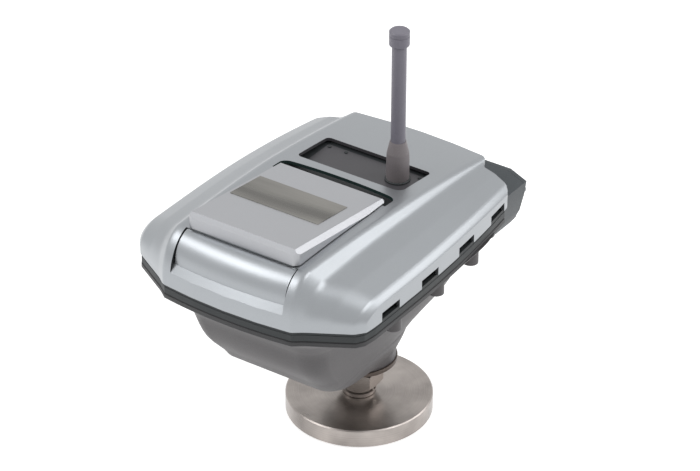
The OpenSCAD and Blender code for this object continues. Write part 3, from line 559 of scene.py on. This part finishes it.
# recess in the nose, which takes the fairing and the lid's front
pocket = {
    "half": 65.6, "rearY": -200.5, "bowRadius": 511.0,
    "ledgeZ": 264.8, "ledgeFrontY": -226.0, "ledgeRearY": -216.0, "ledgeBottomZ": 250.0,
    "ledgeWall": 4.4, "ledgeBack": 8,
    "frontY": -250, "frontDrop": 30, "backZ": 272, "slopeY": -190, "slopeZ": 290.5, "topZ": 320,
}


def lerp(a, b, s):
    return a + (b - a) * s


def sideX(y):
    return cover["halfWidth"] - max(0.0, y - cover["sideBendY"]) ** 2 / cover["sideCurve"]


def noseAt(x):
    c = cover
    if x < c["cornerX"]:
        return -c["noseY"] + (c["noseY"] + c["cornerY"]) * (x / c["cornerX"]) ** 2
    if x < c["stepX"]:
        return lerp(c["cornerY"], c["stepY"], (x - c["cornerX"]) / (c["stepX"] - c["cornerX"]))
    if x < c["cheekX"]:
        return lerp(c["stepY"], c["cheekY"], (x - c["stepX"]) / (c["cheekX"] - c["stepX"]))
    return c["cheekY"] + (x - c["cheekX"]) * c["endSlope"]


def spineZ(y):
    return cover["spineTop"] - (y - cover["crestY"]) ** 2 / (2 * cover["spineRadius"])


def spineX(y):
    return cover["spineHalf"] - cover["spineTaper"] * max(0.0, cover["taperY"] - y)


def bandWidth(y):
    return cover["bandFront"] - cover["bandLoss"] * (y - cover["crestY"]) / cover["bandSpan"]


def sagAt(y):
    return max(0.0, y - cover["shoulderBendY"]) ** 2 / cover["shoulderCurve"]


def coverLine(k, y):
    # x and z of line k; the small steps beside each corner ease it
    foot = (spineX(y) + bandWidth(y), spineZ(y) - bandWidth(y))
    edge = (sideX(y) - cover["edgeIn"], cover["edgeZ"] - sagAt(y))
    return (
        (0.0, spineZ(y)),
        (spineX(y) * 0.5, spineZ(y)),
        (spineX(y) - 3, spineZ(y)),
        (spineX(y) + 0.6, spineZ(y) - 1.3),
        (foot[0] - 1.6, foot[1] + 0.9),
        (foot[0] + 2, foot[1] - 0.9),
        (lerp(foot[0], edge[0], 0.5), lerp(foot[1], edge[1], 0.5) + 1),
        edge,
        (sideX(y) - 1.2, edge[1] - cover["edgeDrop"] + 0.8),
        (sideX(y), edge[1] - cover["edgeDrop"] - 1),
    )[k]


def skinPoint(k, j, t):
    # point j along line k of the skin drawn in by t: straight to the nose, then rolled over it
    n, m = cover["mainStations"], cover["rollStations"]
    rear, noseX, roll = cover["lineRear"][k], cover["lineNoseX"][k], cover["lineRoll"][k]
    rollY = noseAt(noseX) + roll
    y = lerp(rear, rollY, min(1.0, j / n))
    angle = pi / 2 * (j - n) / m if j > n else 0.0
    x, z = coverLine(k, y)
    return (
        lerp(noseX, x, cos(angle)) - (t if k >= cover["flatLines"] else 0),
        min(y, rear - t) if j <= n else rollY - (roll - t) * sin(angle),
        lerp(cover["noseBaseZ"] - t, z - t, cos(angle)),
    )


def cutCorners(row, reach):
    # one pass of corner cutting that takes at most reach from each end, with the ends kept
    result = [row[0]]
    for a, b in zip(row, row[1:]):
        length = sum((q - p) ** 2 for p, q in zip(a, b)) ** 0.5
        share = min(0.25, reach / length)
        result.append(tuple(lerp(p, q, share) for p, q in zip(a, b)))
        result.append(tuple(lerp(p, q, 1 - share) for p, q in zip(a, b)))
    result.append(row[-1])
    return result


def coverForm(name, t, bottom):
    # skin drawn in by t, with a straight wall down to a flat bottom
    rows = []
    for j in range(cover["mainStations"] + cover["rollStations"] + 1):
        half = [skinPoint(k, j, t) for k in range(len(cover["lineRear"]))]
        row = [(-x, y, z) for x, y, z in reversed(half[1:])] + half
        for reach in cover["cornerReach"]:
            row = cutCorners(row, reach)
        rows.append(row)
    cols = len(rows[0])
    last = len(rows) - 1
    points = [p for row in rows for p in row]
    loop = [j * cols for j in range(last + 1)]
    loop += [last * cols + i for i in range(1, cols)]
    loop += [j * cols + cols - 1 for j in range(last - 1, -1, -1)]
    loop += [i for i in range(cols - 2, 0, -1)]
    base = len(points)
    points += [(points[v][0], points[v][1], bottom) for v in loop]
    faces = [
        (j * cols + i, j * cols + i + 1, (j + 1) * cols + i + 1, (j + 1) * cols + i)
        for j in range(last) for i in range(cols - 1)
    ]
    count = len(loop)
    faces += [(loop[e], loop[(e + 1) % count], base + (e + 1) % count, base + e) for e in range(count)]
    faces.append(tuple(base + e for e in range(count)))
    return newPiece(name, points, faces)


def boxTool(name, low, high):
    outline = ((low[0], low[1]), (high[0], low[1]), (high[0], high[1]), (low[0], high[1]))
    return prism(name, outline, low[2], high[2])


def bowedForm(name, half, rearY, outline, steps=48):
    # outline in y and z, carried across the width along the bow of the nose
    centre = pocket["bowRadius"] - cover["noseY"]
    loops = []
    for i in range(steps + 1):
        x = lerp(-half, half, i / steps)
        loops.append([(x, min(rearY, centre - ((centre - y) ** 2 - x * x) ** 0.5), z) for y, z in outline])
    return loftForm(name, loops)


def dressWalls(tool, finish, endsOnly=False):
    # the walls that this tool leaves behind take a finish of their own, which in the cover's cuts is a dark
    # one that paints the shade inside them; endsOnly keeps it to a loft's ends
    tool.data.materials.append(materials["cover_silver"])
    tool.data.materials.append(materials[finish])
    for face in tool.data.polygons:
        face.material_index = 1 if not endsOnly or face.index < 2 else 0
    return tool


def slotOutline(steps=40, squareness=24):
    # straight at the front, bowed at the rear and eased at its ends
    c = cover
    front, rear = c["slotY"]
    outline = [(-c["slotHalf"], front), (c["slotHalf"], front)]
    for step in range(steps + 1):
        u = cos(pi * step / steps)
        ease = c["slotEnd"] * abs(u) ** squareness
        outline.append((c["slotHalf"] * u, rear + c["slotBow"] * (1 - u * u) - ease))
    return outline


def cutOpening(form, name, half, rangeY, radii, finish):
    outline = roundedBox((-half, rangeY[0]), (half, rangeY[1]), radii)
    cut(form, dressWalls(prism(name, outline, *cover["cutZ"]), finish))


def makeOuterCover():
    # the tools reach a few millimetres past what they cut
    c, p = cover, pocket
    form = coverForm("outerCover", 0.0, c["skirtZ"] - 2)
    inside = coverForm("coverInside", c["wall"], c["skirtZ"] - 6)
    dress(form, "cover_silver")
    dress(inside, "cover_silver")
    half, low = p["half"], p["ledgeZ"]
    wide, back = half + p["ledgeWall"], p["ledgeRearY"] + p["ledgeBack"]
    cut(inside, boxTool("ledge", (-wide, p["frontY"], p["ledgeBottomZ"]), (wide, back, low)))
    cut(form, inside)
    cut(form, boxTool("level", c["levelLow"], (*c["levelHigh"], c["skirtZ"])))
    cut(form, prism("terminalRoom", terminalOutline(-c["terminalPlay"]), *c["terminalY"], "y"))
    # the walls of the opening, slot, window and pocket are dressed dark: painted shade, where the cover's
    # walls lie in shadow
    cutOpening(form, "opening", c["openingHalf"], c["openingY"], c["openingCorners"], "inner_dark")
    cut(form, dressWalls(prism("slot", slotOutline(), *c["cutZ"]), "slot_dark"))
    cutOpening(form, "window", c["windowHalf"], c["windowY"], c["windowCorners"], "deck_panel")
    front, rear, top = p["ledgeFrontY"], p["ledgeRearY"], p["topZ"]
    outline = ((p["frontY"], low - p["frontDrop"]), (front, low), (rear, low), (rear, p["backZ"]),
               (p["slopeY"], p["slopeZ"]), (p["slopeY"], top), (p["frontY"], top))
    cut(form, dressWalls(bowedForm("pocket", half, p["rearY"], outline), "inner_dark", True))
    for start in c["notchStart"]:
        for side in (-1, 1):
            xs = sorted(side * x for x in c["notchX"])
            cut(form, boxTool("notch", (xs[0], start, c["skirtZ"] - 3),
                              (xs[1], start + c["notchLength"], c["skirtZ"] + c["notchHeight"])))
    tidyMesh(form)
    smoothFaces(form, c["smoothAngle"])
    weightNormals(form)
    finishPiece(form, "housing", "outer_cover")


fairing = {
    "half": 64.1, "rearY": -201.2, "depth": 24.6, "topZ": 294.0, "footZ": 264.8,
    "wall": 3.0, "steps": 28, "smoothAngle": 40, "edge": 0.5, "edgeAngle": 50,
}


def makeFairing():
    f = fairing

    def arc(t):
        return [
            (f["rearY"] - (f["depth"] - t) * sin(pi / 2 * i / f["steps"]),
             f["footZ"] + (f["topZ"] - f["footZ"] - t) * cos(pi / 2 * i / f["steps"]))
            for i in range(f["steps"] + 1)
        ]

    form = bowedForm("noseFairing", f["half"], f["rearY"], arc(0.0) + list(reversed(arc(f["wall"]))))
    tidyMesh(form)
    smoothFaces(form, f["smoothAngle"])
    roundEdges(form, f["edge"], f["edgeAngle"])
    dress(form, "cover_silver")
    finishPiece(form, "housing", "front_fairing")


housing = {
    # height, nose, rear, front half width, widest half width, its place, front radius, rear squareness
    "rings": (
        (65, -37, 37, 36.5, 37, 2, 35.5, 2), (80, -66, 38, 42, 42, -12, 32, 2),
        (94, -95, 40, 52, 51, -24, 27, 2), (106, -123, 44, 60, 58, -40, 22, 2.2),
        (116, -140, 48, 65, 63, -50, 19, 2.2), (124, -150, 52, 67, 66, -54, 18, 2.4),
        (158, -178, 76, 73, 82, -44, 20, 4.6), (190, -192, 82, 80, 96, -40, 26, 5),
        (206, -202, 85, 94, 110, -50, 40, 5.2), (218, -216, 87, 117, 124, -70, 64, 5.6),
        (226, -225, 88, 129, 131, -76, 75, 5.8),
    ),
    "cornerSteps": 14, "rearSteps": 26, "wall": 6.0, "floorZ": 102.0,
    "bosses": ((82, -198, 217), (121, -122, 207), (120.5, -46, 207), (118, 20, 207), (104, 72, 207)),
    "bossRadius": 8.0, "rimZ": 229.0, "slabZ": 224.0, "slabEdge": 0.9, "rimInset": 1.2, "roomTopZ": 247,
    "chamberInset": 24.0, "chamberZ": 217.0,
    "rimRearY": 78.0, "rimEndIn": 11, "rimEndY": 88.2,
    "socketZ": 60, "socketRadius": 15,
    "entryX": (-52, 0, 52), "entryY": 116.0, "entryRadius": 11.75, "entryZ": (165, 205),
    "entryBossRadius": 16.0, "entryBossZ": (166, 178),
    "earthBossX": (-110, -98), "earthBossY": 112, "earthBossZ": 225, "earthBossRadius": 7,
    # x and z of the terminal box's outline, and how far each moves with its wall
    "terminal": (
        (0, 246, 0, -1), (89, 246, -0.5, -1), (108, 237.6, -1, -0.4), (106, 222, -1, 0), (101, 201, -1, 0),
        (95, 188, -1, 0.3), (86, 179, -0.5, 0.7), (74, 174, 0, 1), (0, 174, 0, 1),
    ),
    "terminalY": (84.0, 134.4), "terminalWall": 8, "hollowY": (98.0, 141),
    "smoothAngle": 32,
}


def terminalOutline(t):
    half = [(x + t * dx, z + t * dz) for x, z, dx, dz in housing["terminal"]]
    return half + [(-x, z) for x, z in reversed(half[1:-1])]


def rimOutline(t):
    # the cover's own outline drawn in by t; the shares at its corners keep the wall even
    c = cover
    rearY, frontY = housing["rimRearY"], c["sideFrontY"]
    half = [(c["cornerX"] * i / 8, noseAt(c["cornerX"] * i / 8) + t) for i in range(8)]
    half.append((c["cornerX"] - t * 0.3, c["cornerY"] + t))
    half.append((c["stepX"] - t * 0.45, c["stepY"] + t * 0.9))
    half.append((c["cheekX"] - t * 0.6, c["cheekY"] + t * 0.85))
    half.append((sideX(frontY) - t - 2, frontY - 15 + t * 0.5))
    steps = 24
    for step in range(steps):
        y = lerp(frontY + t * 0.5, rearY - 10, step / (steps - 1))
        half.append((sideX(y) - t, y))
    half.append((sideX(rearY) - t, rearY - t * 0.4))
    half.append((sideX(rearY) - housing["rimEndIn"] - t * 0.6, housing["rimEndY"] - t))
    return half + [(-x, y) for x, y in reversed(half[1:])]


def ringPoints(ring, t):
    z, nose, rear, frontHalf, widest, place, radius, square = ring
    r = radius - t
    e = 2 / square
    half = []
    for q in range(housing["cornerSteps"] + 1):
        a = pi / 2 * q / housing["cornerSteps"]
        half.append((frontHalf - t - r + r * sin(a), nose + t + r - r * cos(a), z))
    for q in range(housing["rearSteps"] + 1):
        a = pi / 2 * q / housing["rearSteps"]
        half.append(((widest - t) * max(0.0, cos(a)) ** e, place + (rear - t - place) * sin(a) ** e, z))
    half[-1] = (0.0, half[-1][1], z)
    return half + [(-x, y, z) for x, y, z in reversed(half[:-1])]


def funnelForm(name, t, rings):
    return loftForm(name, [ringPoints(ring, t) for ring in rings])


def smoothRings(rings, steps=4):
    # rings between the stated ones, on a curve through them that never overshoots
    result = []
    for i in range(len(rings) - 1):
        a, b = rings[i], rings[i + 1]
        before, after = rings[max(0, i - 1)], rings[min(len(rings) - 1, i + 2)]
        for step in range(steps):
            s = step / steps
            ring = []
            for column in range(len(a)):
                low, high = sorted((a[column], b[column]))
                m0 = (b[column] - before[column]) / 2
                m1 = (after[column] - a[column]) / 2
                value = ((2 * s ** 3 - 3 * s ** 2 + 1) * a[column] + (s ** 3 - 2 * s ** 2 + s) * m0
                         + (3 * s ** 2 - 2 * s ** 3) * b[column] + (s ** 3 - s ** 2) * m1)
                ring.append(lerp(a[0], b[0], s) if column == 0 else min(max(value, low), high))
            result.append(tuple(ring))
    result.append(rings[-1])
    return result


def cylinderTool(name, x, y, z0, z1, radius, steps=32):
    outline = []
    for i in range(steps):
        a = 2 * pi * i / steps
        outline.append((x + radius * cos(a), y + radius * sin(a)))
    return prism(name, outline, z0, z1)


def rimSlab():
    # slab of the rim, whose edges are eased so that they catch the light
    h = housing
    edge, low, high = h["slabEdge"], h["slabZ"], h["rimZ"]
    levels = ((low, edge), (low + edge, 0), (high - edge * 0.5, 0), (high, edge * 0.5))
    loops = [[(x, y, z) for x, y in rimOutline(h["rimInset"] + inset)] for z, inset in levels]
    return loftForm("slab", loops)


def earthBoss(steps=24):
    h = housing
    r, outline = h["earthBossRadius"], []
    for i in range(steps):
        a = i * pi / (steps / 2)
        outline.append((h["earthBossY"] + r * cos(a), h["earthBossZ"] + r * sin(a)))
    return prism("earthBoss", outline, *h["earthBossX"], "x")


def makeLowerHousing():
    h = housing
    form = funnelForm("lowerHousing", 0.0, smoothRings(h["rings"]))
    dress(form, "cast_dark")
    # the rim slab takes the near-black rim finish, which paints the shade under the cover's silver edge
    cut(form, dressWalls(rimSlab(), "rim_joint_and_shade"), "UNION")
    cut(form, dressWalls(prism("terminal", terminalOutline(0), *h["terminalY"], "y"), "cast_blue"), "UNION")
    for x, y, z in h["bosses"]:
        for side in (-1, 1):
            cut(form, cylinderTool("boss", side * x, y, z, h["rimZ"] - 0.01, h["bossRadius"]), "UNION")
    for x in h["entryX"]:
        boss = cylinderTool("entryBoss", x, h["entryY"], *h["entryBossZ"], h["entryBossRadius"])
        cut(form, boss, "UNION")
    cut(form, earthBoss(), "UNION")
    inner = [(h["floorZ"], *h["rings"][2][1:])] + list(h["rings"][3:-1])
    cut(form, funnelForm("tub", h["wall"], inner))
    cut(form, prism("chamber", rimOutline(h["chamberInset"]), h["chamberZ"], h["rimZ"] + 1))
    cut(form, prism("compartment", terminalOutline(h["terminalWall"]), *h["hollowY"], "y"))
    cut(form, cylinderTool("socket", 0, 0, h["socketZ"], h["floorZ"] + 1, h["socketRadius"]))
    for x in h["entryX"]:
        cut(form, cylinderTool("entry", x, h["entryY"], *h["entryZ"], h["entryRadius"]))
    cut(form, prism("rimRoom", rimOutline(h["rimInset"]), h["rimZ"], h["roomTopZ"]))
    tidyMesh(form)
    smoothFaces(form, h["smoothAngle"])
    finishPiece(form, "housing", "lower_housing")


print("scene: outer cover")
makeOuterCover()
makeFairing()
print("scene: cast housing")
makeLowerHousing()

print("scene: carried-over pieces")
replaced = ("outer_cover", "front_fairing", "lower_housing")
easedEdges = {"display_lid": 0.6, "flange_disc": 0.4}
for name, node in nodes.items():
    if name not in replaced:
        smoothFaces(node)
for name, width in easedEdges.items():
    roundEdges(nodes[name], width)

print("scene: finish")
